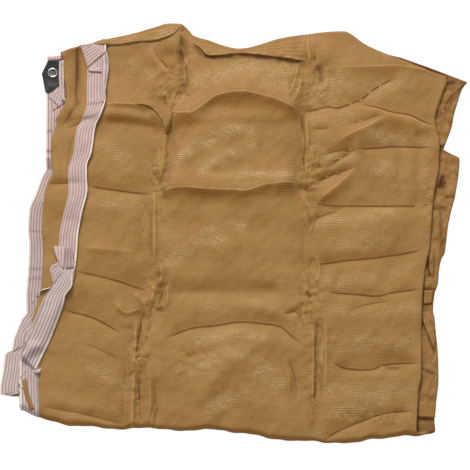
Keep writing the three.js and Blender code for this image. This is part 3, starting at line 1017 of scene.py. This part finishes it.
def net_material():
    """Knitted tan net. Marks say where it is creased or crumpled, where it gets painted shade in hollows and
    on the lower run, and where it gets painted sheen.
    """
    n = Nodes("knitted_net")
    uv, across_, along_ = n.cloth()
    satin = n.mark("satin")

    # Knit rows lie across the cloth and wander a little; finer ribs cross them.
    wander = n.times(n.noise(n.scaled(uv, 9, 3), 1.0, 3), 0.008)
    rows = n.wave(n.times(n.plus(along_, wander), 2 * math.pi / KNIT_ROW))
    ribs = n.wave(n.times(across_, 2 * math.pi / KNIT_RIB))
    broken = n.noise(n.scaled(uv, 18, 34), 1.0, 4, 0.6)
    painted_glint_and_gloss = n.times(n.plus(n.times(satin, 0.9), 0.1), n.past(broken, 0.38, 4.5))

    # Painted shade: slopes that fall towards the near edge, away from the key lamp, are given a deeper colour,
    # standing in for light that comes through the knit.
    facing = n.add("SeparateXYZ", {0: n.add("NewGeometry").outputs["Normal"]}).outputs[1]
    colour = n.ramp(n.noise(uv, 6.0, 4, 0.6), (0.3, 151, 110, 60), (0.5, 159, 118, 67), (0.7, 165, 125, 75))
    # Painted sheen: a lighter colour in the bands where the knit shines.
    colour = n.blend(n.times(satin, 0.25), colour, (186, 148, 96))
    # Painted shade: the lower run is darker, as it lies in the shadow of the upper one.
    colour = n.blend(n.times(n.mark("lower"), 0.32), colour, (134, 88, 40))
    colour = n.blend(n.times(n.past(facing, -0.05, -3.0), 0.8), colour, (152, 100, 38))

    # Fine grain and rows, and painted highlight streaks where the knit shines.
    fine = n.noise(n.scaled(uv, 300, 380), 1.0, 3, 0.8)
    colour = n.blend(n.times(n.past(fine, 0.5, -4.4), 0.6), colour, (104, 68, 24))
    colour = n.blend(n.times(n.past(fine, 0.5, 3.4), 0.5), colour, (190, 150, 94))
    row_tint = n.times(n.minus(rows, 0.5), n.plus(broken, -0.1))
    colour = n.blend(n.clamp(n.times(row_tint, 0.75)), colour, (196, 156, 106))
    colour = n.blend(n.clamp(n.times(row_tint, -0.75)), colour, (116, 78, 38))
    dashes = n.times(n.minus(n.noise(n.scaled(uv, 110, 400), 1.0, 3, 0.65), 0.42), 5.0)
    streak = n.clamp(n.times(rows, dashes))
    colour = n.blend(n.times(streak, painted_glint_and_gloss), colour, (218, 190, 146))

    # Painted shade in lines along the troughs and painted highlight along the ridges, and fine webs of both
    # painted shade and highlight where it is crumpled.
    depth = n.times(n.mark("crease_deep"), n.plus(broken, 0.55))
    line = n.times(n.near(n.size(n.mark("crease_at")), 3.4), depth)
    colour = n.blend(line, colour, (106, 66, 20))
    height = n.times(n.mark("ridge_high"), n.plus(broken, 0.4))
    crest = n.times(n.near(n.size(n.mark("ridge_at")), 3.2), height)
    colour = n.blend(n.times(crest, 0.6), colour, (202, 160, 98))
    webs = []
    for offset, tint in ((0.0, (108, 68, 22)), (7.0, (200, 158, 98))):
        shifted = n.add("VectorMath", {0: n.scaled(uv, 30, 13), 1: (offset, offset, 0)}, operation="ADD")
        web = n.size(n.minus(n.noise(shifted.outputs[0], 1.0, 2, 0.55), 0.5))
        webs.append(n.times(n.near(web, 1 / 22), n.mark("crumpled")))
        colour = n.blend(n.times(webs[-1], 0.55), colour, tint)

    # Painted shade in the hollows between folds, and specks.
    colour = n.blend(n.mark("hollow"), colour, (76, 34, 6))
    at = n.scaled(n.add("NewGeometry").outputs["Position"], 1, 1, 0)
    for place_ in SPECKS:
        centre = tuple(in_frame(*place_, 0))
        away = n.add("VectorMath", {0: at, 1: centre}, operation="DISTANCE").outputs["Value"]
        colour = n.blend(n.times(n.near(away, SPECK, 1.5), 0.75), colour, (70, 44, 24))

    pressed = n.minus(n.plus(crest, webs[1]), n.plus(line, webs[0]))
    knit = n.plus(n.times(n.times(rows, 0.6), n.plus(painted_glint_and_gloss, 0.3)), n.times(ribs, 0.14))
    normal = n.bump(n.noise(uv, 34.0, 4, 0.6), 0.3, 0.004)
    normal = n.bump(pressed, 0.8, 0.001, normal)
    normal = n.bump(knit, 0.6, 0.0008, normal)
    normal = n.bump(fine, 0.6, 0.0008, normal)
    return n.finish("BsdfPrincipled", {
        "Base Color": colour, "Normal": normal, "Roughness": n.minus(0.6, n.times(painted_glint_and_gloss, 0.2)),
        "Specular IOR Level": 0.1,
    })


def tape_material():
    """Woven tape with pink stripes. Marks say how worn it is, and where it lies in shadow."""
    n = Nodes("striped_tape")
    uv, across_, along_ = n.cloth()
    drift = n.times(n.noise(n.scaled(uv, 30, 12), 1.0, 3), 0.0016)
    phase = n.times(n.plus(across_, drift), 2 * math.pi / STRIPE)
    stripes = n.wave(n.plus(phase, -0.6))
    fresh = ((0, 165, 121, 117), (0.25, 178, 139, 133), (0.5, 193, 166, 158), (1, 201, 181, 172))
    grey = ((0, 150, 119, 120), (0.25, 171, 144, 142), (0.5, 195, 175, 169), (1, 206, 191, 183))
    colour = n.blend(n.mark("worn"), n.ramp(stripes, *fresh), n.ramp(stripes, *grey))
    weave = n.wave(n.times(n.plus(along_, across_), 2 * math.pi / TAPE_WEAVE))
    colour = n.blend(n.times(weave, 0.22), colour, (230, 220, 212))
    grime = n.noise(uv, 34.0, 4, 0.65)
    colour = n.blend(n.times(n.past(grime, 0.45, 2.2), 0.4), colour, (150, 122, 118))
    colour = n.blend(n.near(across_, 0.0016, 1.7), colour, (236, 220, 206))
    colour = n.blend(n.mark("shadow"), colour, (84, 34, 26))
    normal = n.bump(weave, 0.4, 0.0005, n.bump(grime, 0.5, 0.003))
    return n.finish("BsdfPrincipled", {
        "Base Color": colour, "Normal": normal, "Roughness": 0.8, "Specular IOR Level": 0.25,
    })


def patch_material():
    n = Nodes("coated_cloth")
    at = n.add("TexCoord").outputs["Object"]
    return n.finish("BsdfPrincipled", {
        "Base Color": n.ramp(n.noise(at, 60.0, 3), (0.3, 13, 15, 14), (0.7, 25, 27, 25)),
        "Normal": n.bump(n.noise(at, 900.0, 2), 0.3, 0.0004),
        "Roughness": 0.4, "Specular IOR Level": 0.3,
    })


def metal_material():
    n = Nodes("eyelet_aluminium")
    at = n.add("TexCoord").outputs["Object"]
    return n.finish("BsdfPrincipled", {
        "Base Color": n.ramp(n.noise(at, 300.0, 3), (0.3, 150, 152, 156), (0.7, 184, 185, 188)),
        "Normal": n.bump(n.noise(at, 700.0, 2), 0.1, 0.0003),
        "Metallic": 1.0, "Roughness": 0.3,
    })


def thread_material():
    looks = {"Base Color": srgb(206, 190, 180), "Roughness": 0.7}
    return Nodes("sewing_thread").finish("BsdfPrincipled", looks)


def floor_material():
    """White that shows only a little of the packet's shadow."""
    n = Nodes("white_floor")
    lit = n.add("BsdfDiffuse", {"Color": (0.8, 0.8, 0.8, 1)}).outputs[0]
    plain = n.add("Emission", {"Color": (1, 1, 1, 1), "Strength": 1.12}).outputs[0]
    rays = n.add("LightPath").outputs
    seen = n.times(n.math("MAXIMUM", rays["Is Camera Ray"], rays["Is Glossy Ray"]), 0.86)
    return n.finish("MixShader", {0: seen, 1: lit, 2: plain})


NET_CLOTH = net_material()
STRIPED_TAPE = tape_material()
COATED_CLOTH = patch_material()
ALUMINIUM = metal_material()
THREAD = thread_material()


# ---------------- net and tapes

# Where on its run each row of the cloth lies.
ROWS = np.concatenate([
    np.linspace(-1, -TURN, LOWER_ROWS + 1),
    np.linspace(-TURN, TURN, NEAR_ROWS + 1)[1:-1],
    np.linspace(TURN, 1, UPPER_ROWS + 1),
])[:, None]
FOCUS = along(ROWS, "margin") - 1.5 * FOLD  # where the margin turns over, from the free edge


def net_columns():
    """Where the columns lie: on the outer half, round the right-hand fold and on the inner half."""
    flat = along(ROWS, "right") - FOLD
    edge = along(ROWS, "start") - along(ROWS, "margin")
    margin = crowded(0, MARGIN_END, MARGIN_STEPS, FOCUS, 9)
    panel = mix(MARGIN_END, flat - edge, np.linspace(0, 1, PANEL_STEPS + 1)[1:])
    bends = np.linspace(-90, 90, BENDS + 2)[1:-1]
    fold = flat - along(ROWS, "inner")
    strip = mix(fold, fold - STRIP_END, np.linspace(0, 1, STRIP_STEPS + 1))
    rest = mix(fold - STRIP_END, TAPE_WIDTH, np.linspace(0, 1, EDGE_STEPS + 1)[1:])
    tape = np.linspace(TAPE_WIDTH, 0, EDGE_STEPS + 1)[1:]
    bends, tape = (np.broadcast_to(part, (len(ROWS), len(part))) for part in (bends, tape))
    return np.concatenate([margin, panel], 1), bends, np.concatenate([strip, rest, tape], 1)


def kept_columns(panel_end, width):
    """The columns that each row of the net uses, on its outward face and on the other one."""
    # The lower run shows only near its ends, and the other face hardly anywhere.
    strip_end = panel_end + BENDS + STRIP_STEPS + 1
    upper = [*range(panel_end + BENDS), *range(panel_end + BENDS, strip_end, 4), *range(strip_end, width)]
    lower = [*range(0, MARGIN_STEPS + 1, 3), *range(MARGIN_STEPS + 2, panel_end - 1, 18), panel_end - 1]
    lower += [*range(panel_end, strip_end), *range(strip_end + 1, width, 2)]
    kept = [lower if i < LOWER_ROWS else upper for i in range(len(ROWS))]
    coarse = {*range(0, 40, 2), *range(40, width, 5), *range(panel_end - 2, panel_end + BENDS + 2), width - 1}
    kept_back = [[c for c in row if c in coarse] for row in kept]
    kept_back[0], kept_back[-1] = kept[0], kept[-1]
    return kept, kept_back


def net_marks(x, y, panel_end):
    """What the net's material needs to know at each place."""
    top = (ROWS > 0) * (np.arange(x.shape[1]) < panel_end)
    low = (ROWS < 0) * np.ones_like(x)
    line, depth = crease_lines(x, y, False)
    crest, height = crease_lines(x, y, True)
    return {
        "crease_at": line,
        "crease_deep": depth * top,
        "ridge_at": crest,
        "ridge_high": height * top,
        "crumpled": crumpled(x, y) * top + 0.3 * low,
        "hollow": bands(HOLLOWS, x, y) * top + bands(LOWER_HOLLOWS, x, y) * low,
        "satin": bands(PAINTED_SHEEN_BANDS, x, y) * top,
        "lower": low,
    }


def build_net():
    """The whole net as one closed sheet."""
    u, bends, q = net_columns()
    sides = []
    for off in (NET / 2, -NET / 2):
        parts = [outer_places(ROWS, u, off), right_places(ROWS, bends, off), inner_places(ROWS, q, off)]
        x, points = placed(parts)
        sides.append(points)
    middle = (sides[0] + sides[1]) / 2
    uv = cloth_map(middle)
    panel_end = u.shape[1]
    marks = net_marks(x, middle[..., 1] / MM - ORIGIN[1], panel_end)
    piece = sheet_mesh("sail_net", *sides, uv, NET_CLOTH, marks, *kept_columns(panel_end, x.shape[1]))
    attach(piece, "root")
    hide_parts("net")
    return piece, (uv[..., 0].max(1).mean() * MM, uv[-1, 0, 1] * MM)


def build_tape(name, node, places, distances, outside_first):
    """A tape folded round a free edge. distances: from that edge, one list for each row."""
    inward = distances[:, ::-1]
    skins = []
    for away, beyond in ((SKIN, LIP / 2 + TAPE), (LIP, LIP / 2)):
        tip = np.full((len(distances), 1), -beyond)
        ways = ((inward, away), (tip, away), (tip, -away), (distances, -away))
        skins.append(placed([places(ROWS, u, side) for u, side in ways])[1])
    tip = np.full((len(distances), 1), -1.0)
    uv = cloth_map(skins[0], np.concatenate([inward, tip, tip, distances], 1))
    x, y = np.moveaxis(skins[0][..., :2] / MM - ORIGIN, -1, 0)
    marks = {
        "worn": np.maximum(1 - smoothstep(y, *GREYER), bands(TAPE_GREY, x, y)),
        "shadow": bands(TAPE_SHADOWS, x, y) * (ROWS > 0),
    }
    piece = sheet_mesh(name, *(skins if outside_first else skins[::-1]), uv, STRIPED_TAPE, marks)
    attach(piece, "root")
    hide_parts(node)
    return piece, (2 * (TAPE_WIDTH + 1) * MM, uv[-1, 0, 1] * MM)


# ---------------- flaps that lie on other pieces

GROUND = []  # what a flap can lie on


def lies_on(piece):
    """Adds a piece to what the flaps made after it can lie on."""
    mesh = piece.data
    points = np.empty(len(mesh.vertices) * 3, np.float32)
    mesh.vertices.foreach_get("co", points)
    faces = [tuple(p.vertices) for p in mesh.polygons]
    GROUND.append(BVHTree.FromPolygons(points.reshape(-1, 3).tolist(), faces))


def ground(x, y):
    """Height of the highest surface at a place, in metres."""
    hits = [tree.ray_cast(Vector((x, y, SKY)), Vector((0, 0, -1)))[0] for tree in GROUND]
    return max([hit.z for hit in hits if hit is not None], default=0)


def even(points, count):
    """Places evenly spaced along a smooth line through a few places."""
    route = smooth_path(points)
    done = np.pad(np.cumsum(np.hypot(*np.diff(route, axis=0).T)), (1, 0))
    at = np.linspace(0, done[-1], count)
    return np.stack([np.interp(at, done, column) for column in route.T], -1)


def smear(grid, pick):
    """Each value of a grid with those around it, brought together by pick."""
    wide = np.pad(grid, 1, mode="edge")
    height, width = grid.shape
    return pick([wide[i : i + height, j : j + width] for i in range(3) for j in range(3)], axis=0)


def strip_plan(hinge, free):
    """A grid of places between two lines in the plan, the length of the second line and the mean width."""
    length = np.hypot(*np.diff(free, axis=0).T).sum()
    rows = max(int(length / FLAP_STEP), 3) + 1
    near, far = even(hinge, rows), even(free, rows)
    widths = np.hypot(*(far - near).T)
    cols = max(int(widths.max() / FLAP_STEP), 2) + 1
    plan = near[:, None] + (far - near)[:, None] * np.linspace(0, 1, cols)[:, None]
    return plan, length, widths.mean()


def resting(plan):
    """A grid of places in the frame, laid on what is under them, with its steps smoothed."""
    places = in_frame(plan[..., 0], plan[..., 1], 0)
    z = np.array([[ground(x, y) for x, y, _ in row] for row in places])
    places[..., 2] = smear(smear(smear(z, np.max), np.mean), np.mean)
    return places


def up(height):
    """Steps upwards, in metres, from heights in millimetres."""
    return np.multiply.outer(height, [0, 0, MM])


def flap(material, name, hinge, free, rise=0.0, base=0.0, sunk=0.0, inset=3.0, turn=0.0, **marks):
    """A thin strip that lies on what is under it, from its hinge to its free edge, both lines in the plan.
    rise: how far its free edge stands up. base: how far all of it does. sunk: how far its ends go down into
    what is under it. inset: from a tape's edge to the hinge. turn: degrees from its stripes to its hinge.
    marks: worn, shadow and satin, for its material."""
    plan, length, width = strip_plan(line_of(hinge), line_of(free))
    rows, cols = plan.shape[:2]
    share, ends = np.linspace(0, 1, cols), np.linspace(0, 1, rows)[:, None]
    ends = smoothstep(ends, -0.05, 0.15) * smoothstep(1 - ends, -0.05, 0.15)
    ripple = waves(plan[..., 0], plan[..., 1], len(name), *FLAP_WAVES)
    lifted = rise * share ** 1.5 * ends * (1 + 0.25 * ripple) + FLAP_GAP + base - sunk * (1 - ends)
    back = resting(plan) + up(lifted)
    front = back + up(NET if material is NET_CLOTH else TAPE)
    across_, along_ = share * width, np.linspace(0, length, rows)[:, None]
    c, s = math.cos(math.radians(turn)), math.sin(math.radians(turn))
    uv = np.stack([across_ * c + along_ * s + inset, along_ * c - across_ * s], -1)
    (ax, ay), (bx, by) = plan[rows // 2, -1] - plan[rows // 2, 0], plan[-1, cols // 2] - plan[0, cols // 2]
    if ax * by < ay * bx:
        front, back, uv = front[:, ::-1], back[:, ::-1], uv[:, ::-1]
    marks = {key: np.full((rows, cols), marks.get(key, 0.0)) for key in ("worn", "shadow", "satin")}
    piece = sheet_mesh(name, front, back, uv, material, marks)
    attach(piece, "root")
    lies_on(piece)
    return piece


def flaps(material, text):
    """Flaps from text: for each a line with its name and settings, its hinge and its free edge."""
    lines = text.strip().splitlines()
    made = []
    for first, hinge, free in zip(lines[::3], lines[1::3], lines[2::3]):
        name, *words = first.split()
        settings = dict(word.split("=") for word in words)
        settings = {key: float(value) for key, value in settings.items()}
        made.append(flap(material, name, hinge, free, **settings))
    return made


# Folds of the net that stand free of it.
NET_FLAPS = """
net_far_band rise=0.8 satin=0.35 turn=90 sunk=1.5
-316,434 -290,442 -253,448 -209,457 -165,469 -135,475 -121,472
-312,434 -300,431 -253,432 -209,438 -166,442 -139,453 -127,464
net_far_flap rise=4.2 turn=90 sunk=3.2
-100,446 -50,431 8,415 52,428 102,440 158,450
-96,440 -75,423 -62,407 -30,407 11,412 52,407 102,401 158,394
net_arc_flap rise=1.8 sunk=2
-187,299 -158,294 -139,273 -147,224
-222,290 -187,281 -162,251 -152,223
net_curl rise=3 sunk=2
437,-45 437,-78 435,-111
428,-54 427,-76 428,-104
net_tuck rise=2
414,-174 431,-171
414,-143 436,-142
net_pleat rise=2 sunk=2
425,-204 442,-256
411,-210 436,-279
net_near_tuck rise=2
404,-400 440,-402
399,-434 437,-436
net_curved_strip rise=0.5 sunk=1
-464,-352 -462,-376 -456,-398 -447,-424
-456,-348 -452,-376 -446,-398 -438,-420
"""

# The turned end of the outer half's tape, its twist, where it shows on the lower run, and two cream edges.
OUTER_FLAPS = """
tape_under_side rise=1 worn=0.9
-294,401 -295,364 -294,336 -295,292
-283,413 -278,384 -285,324 -290,292
tape_end rise=2 worn=0.2
-283,414 -304,396 -326,376
-314,433 -328,430 -341,425
tape_end_tip rise=2 worn=0.5
-326,374 -311,389
-322,368 -294,364
tape_lower rise=1 worn=1 inset=-1.6 base=2.4
-352,-86 -351,-97 -357,-113 -357,-138 -372,-160 -376,-181 -402,-255 -420,-295 -436,-331
-374,-88 -376,-101 -396,-133 -416,-164 -421,-185 -436,-223 -453,-262 -468,-297
tape_twist_side rise=0.5 worn=1 shadow=0.38 inset=14
-369,-48 -371,-73 -372,-99
-358,-47 -354,-70 -353,-97
tape_twist rise=3 worn=0.1
-371,-45 -373,-66 -376,-99
-400,-42 -396,-60 -386,-86
tape_twist_fold rise=3 worn=0.2 inset=0
-376,-102 -388,-117 -398,-133
-387,-84 -405,-94 -403,-120
tape_twist_edge base=0.9 inset=-4
-396,-131 -405,-140 -426,-146 -438,-158 -442,-168
-399,-134 -408,-143 -429,-149 -441,-161 -445,-171
tape_loop rise=4 inset=0
-441,-331 -424,-327
-438,-339 -426,-337
tape_zigzag base=0.9 inset=-4
-456,-327 -471,-351 -463,-370
-458.5,-329 -473.5,-353 -465.5,-372
"""

# The turned end of the inner half's tape, and what of it lies over the patch.
INNER_FLAPS = """
inner_tape_turn rise=1.5 worn=0.8 turn=60
-414,312 -400,300 -387,288
-387,337 -380,318 -373,301
inner_tape_tip rise=1 worn=0.1
-405,301 -387,288
-402,279 -396,284
"""
PATCH_FLAPS = """
inner_tape_cover rise=1 worn=0.4 inset=0
-379,396 -378,345 -377,302
-389,394 -389,350 -383,302
"""


# ---------------- patch, eyelet and seams

def build_patch():
    """The five-sided corner patch, a little curled away from the eyelet."""
    west = line_of("-412,399 -421,381 -427,366 -423,344 -419,322")
    east = line_of("-374,401 -374,378 -374,352 -391,337 -410,321")
    at, knots = np.linspace(0, 1, PATCH_ROWS), np.linspace(0, 1, len(west))
    left, right = (np.stack([np.interp(at, knots, column) for column in side.T], -1) for side in (west, east))
    plan = left[:, None] + (right - left)[:, None] * np.linspace(0, 1, PATCH_COLUMNS)[:, None]
    x, y = plan[..., 0], plan[..., 1]
    away = np.hypot(x - EYELET["x"], y - EYELET["y"])
    curl = smoothstep(away, 16, 55) * (1.6 + 0.7 * waves(x, y, *PATCH_WAVES))
    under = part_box("corner_patch")[0].z / MM + np.maximum(curl, 0)
    grids = [in_frame(x, y, z)[::-1] for z in (under + PATCH, under)]
    uv = plan[::-1] - plan.reshape(-1, 2).min(0)
    piece = sheet_mesh("patch_cloth", *grids, uv, COATED_CLOTH)
    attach(piece, "root")
    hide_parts("corner_patch")
    return piece


def build_eyelet():
    """A rolled eyelet with its washer, turned about its own axis."""
    foot, top = (corner.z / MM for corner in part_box("eyelet"))
    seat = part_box("corner_patch")[1].z / MM
    bore, flange, back = EYELET["bore"], EYELET["flange"], EYELET["back"]
    middle, half = (bore + flange) / 2, (flange - bore) / 2
    edge, wall, washer = 0.3, 0.8, 1.0
    turn = np.linspace(0, math.pi, 15)
    profile = [(middle + half * math.cos(t), seat + (top - seat) * math.sin(t)) for t in turn]
    profile += [(bore, foot + edge), (bore + edge, foot), (back - edge, foot), (back, foot + edge)]
    profile += [(back, foot + washer), (bore + wall, foot + washer), (bore + wall, seat), (flange - 0.4, seat)]
    count = len(profile)
    points, faces = [], []
    for i in range(EYELET_SIDES):
        angle = 2 * math.pi * i / EYELET_SIDES
        for radius, z in profile:
            x, y = EYELET["x"] + radius * math.cos(angle), EYELET["y"] + radius * math.sin(angle)
            points.append(in_frame(x, y, z).tolist())
        a, b = i * count, (i + 1) % EYELET_SIDES * count
        for j in range(count):
            k = (j + 1) % count
            faces.append((a + j, a + k, b + k, b + j))
    piece = new_piece("eyelet_ring", points, faces, ALUMINIUM)
    piece.data.shade_smooth()
    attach(piece, "root")
    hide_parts("eyelet")


def bars(name, middles, ways, ups):
    """Many small stitches as one mesh, narrower at the top."""
    long, wide, high = (s / 2 * MM for s in STITCH)
    ways = ways / np.linalg.norm(ways, axis=1)[:, None]
    sides = np.cross(ups, ways)
    sides = sides / np.linalg.norm(sides, axis=1)[:, None]
    ups = np.cross(ways, sides)
    corners = []
    for c, length, width in ((-1, long, wide), (1, 0.6 * long, 0.5 * wide)):
        for a, b in ((-1, -1), (1, -1), (1, 1), (-1, 1)):
            corners.append(middles + ways * (a * length) + sides * (b * width) + ups * (c * high))
    points = np.stack(corners, 1).reshape(-1, 3)
    box = ((0, 3, 2, 1), (4, 5, 6, 7), (0, 1, 5, 4), (1, 2, 6, 5), (2, 3, 7, 6), (3, 0, 4, 7))
    faces = [[8 * i + v for v in face] for i in range(len(middles)) for face in box]
    piece = new_piece(name, points.tolist(), faces, THREAD)
    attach(piece, "root")
    return piece


def seam(name, places):
    """Stitches through a tape and its net, on both faces, in a line by each edge of the tape."""
    runs = np.linspace(-SEAM_END, SEAM_END, STITCHES)[:, None]
    middles, cores = [], []
    for distance in (SEAM_INSET, TAPE_WIDTH - SEAM_INSET):
        u = np.full((STITCHES, 1), distance)
        for side in (1, -1):
            for kind, off in ((middles, SKIN + 0.1), (cores, LIP)):
                kind.append(place(*places(runs, u, side * off), runs)[:, 0])
    ways = np.concatenate([np.gradient(line, axis=0) for line in middles])
    middles = np.concatenate(middles)
    return bars(name, middles, ways, middles - np.concatenate(cores))


# ---------------- the whole packet

def build_packet():
    """All pieces, in the order in which they lie on each other."""
    net, net_size = build_net()
    steps = crowded(0, TAPE_WIDTH, TAPE_STEPS, FOCUS, 7)
    outer_tape, outer_size = build_tape("edge_tape_outer", "tape_outer", outer_places, steps, False)
    level = np.tile(np.linspace(0, TAPE_WIDTH, LEVEL_STEPS + 1), (len(ROWS), 1))
    inner_tape, inner_size = build_tape("edge_tape_inner", "tape_inner", inner_places, level, True)
    foot, top = (corner.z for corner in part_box("eyelet"))
    for piece in (net, inner_tape):
        pierce(piece, foot + 0.5 * MM, top)
    for piece in (net, outer_tape, inner_tape):
        lies_on(piece)
    on_net = flaps(NET_CLOTH, NET_FLAPS)
    on_outer = flaps(STRIPED_TAPE, OUTER_FLAPS)
    on_inner = flaps(STRIPED_TAPE, INNER_FLAPS)
    patch = build_patch()
    lies_on(patch)
    on_inner += flaps(STRIPED_TAPE, PATCH_FLAPS)
    on_outer.append(seam("outer_seam", outer_places))
    on_inner.append(seam("inner_seam", inner_places))
    for sheet, size, node, slot, pieces in (
        (net, net_size, "net", "net_cloth", on_net),
        (outer_tape, outer_size, "tape_outer", "striped_tape", on_outer),
        (inner_tape, inner_size, "tape_inner", "striped_tape", on_inner),
    ):
        for piece in pieces:
            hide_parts(node)
    build_eyelet()
    foot, top = (corner.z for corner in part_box("corner_patch"))
    pierce(patch, foot - MM, top + 3 * MM)


# ---------------- stage

def build_floor():
    half = 6.0
    corners = [(-half, -half, 0), (half, -half, 0), (half, half, 0), (-half, half, 0)]
    floor = new_piece("floor", corners, [(0, 1, 2, 3)], floor_material())


def build_world():
    world = bpy.data.worlds.new("studio")
    bpy.context.scene.world = world
    world.use_nodes = True
    background = world.node_tree.nodes["Background"]
    background.inputs["Color"].default_value = (1, 1, 1, 1)
    background.inputs["Strength"].default_value = 0.34


def put(name, data, at, way):
    """A lamp or camera at a place, in metres, that looks one way."""
    thing = bpy.data.objects.new(name, data)
    thing.location = at
    thing.rotation_mode = "QUATERNION"
    thing.rotation_quaternion = Vector(way).to_track_quat("-Z", "Y")
    bpy.context.scene.collection.objects.link(thing)
    return thing


def add_lamp(name, at, size, power):
    """A square lamp that shines on the packet."""
    data = bpy.data.lights.new(name, "AREA")
    data.shape = "SQUARE"
    data.size = size
    data.energy = power
    put(name, data, at, -Vector(at))


def build_camera():
    """Far above the near side, with a long lens."""
    elevation = math.radians(70)
    lens, sensor = 800.0, 36.0
    width = 1.034  # of the view at the packet
    aim = Vector(in_frame(0, -7, 0))
    back = Vector((0, -math.cos(elevation), math.sin(elevation)))
    data = bpy.data.cameras.new("camera")
    data.lens, data.sensor_width = lens, sensor
    data.clip_start, data.clip_end = 1, 60
    bpy.context.scene.camera = put("camera", data, aim + back * (width * lens / sensor), -back)


build_packet()
build_floor()
build_world()
add_lamp("key", (-1.2, 5.2, 4.3), 2.6, 465)
add_lamp("fill", (-0.8, -1.8, 2.6), 2.4, 16)
build_camera()
bpy.context.scene.view_settings.view_transform = "Standard"
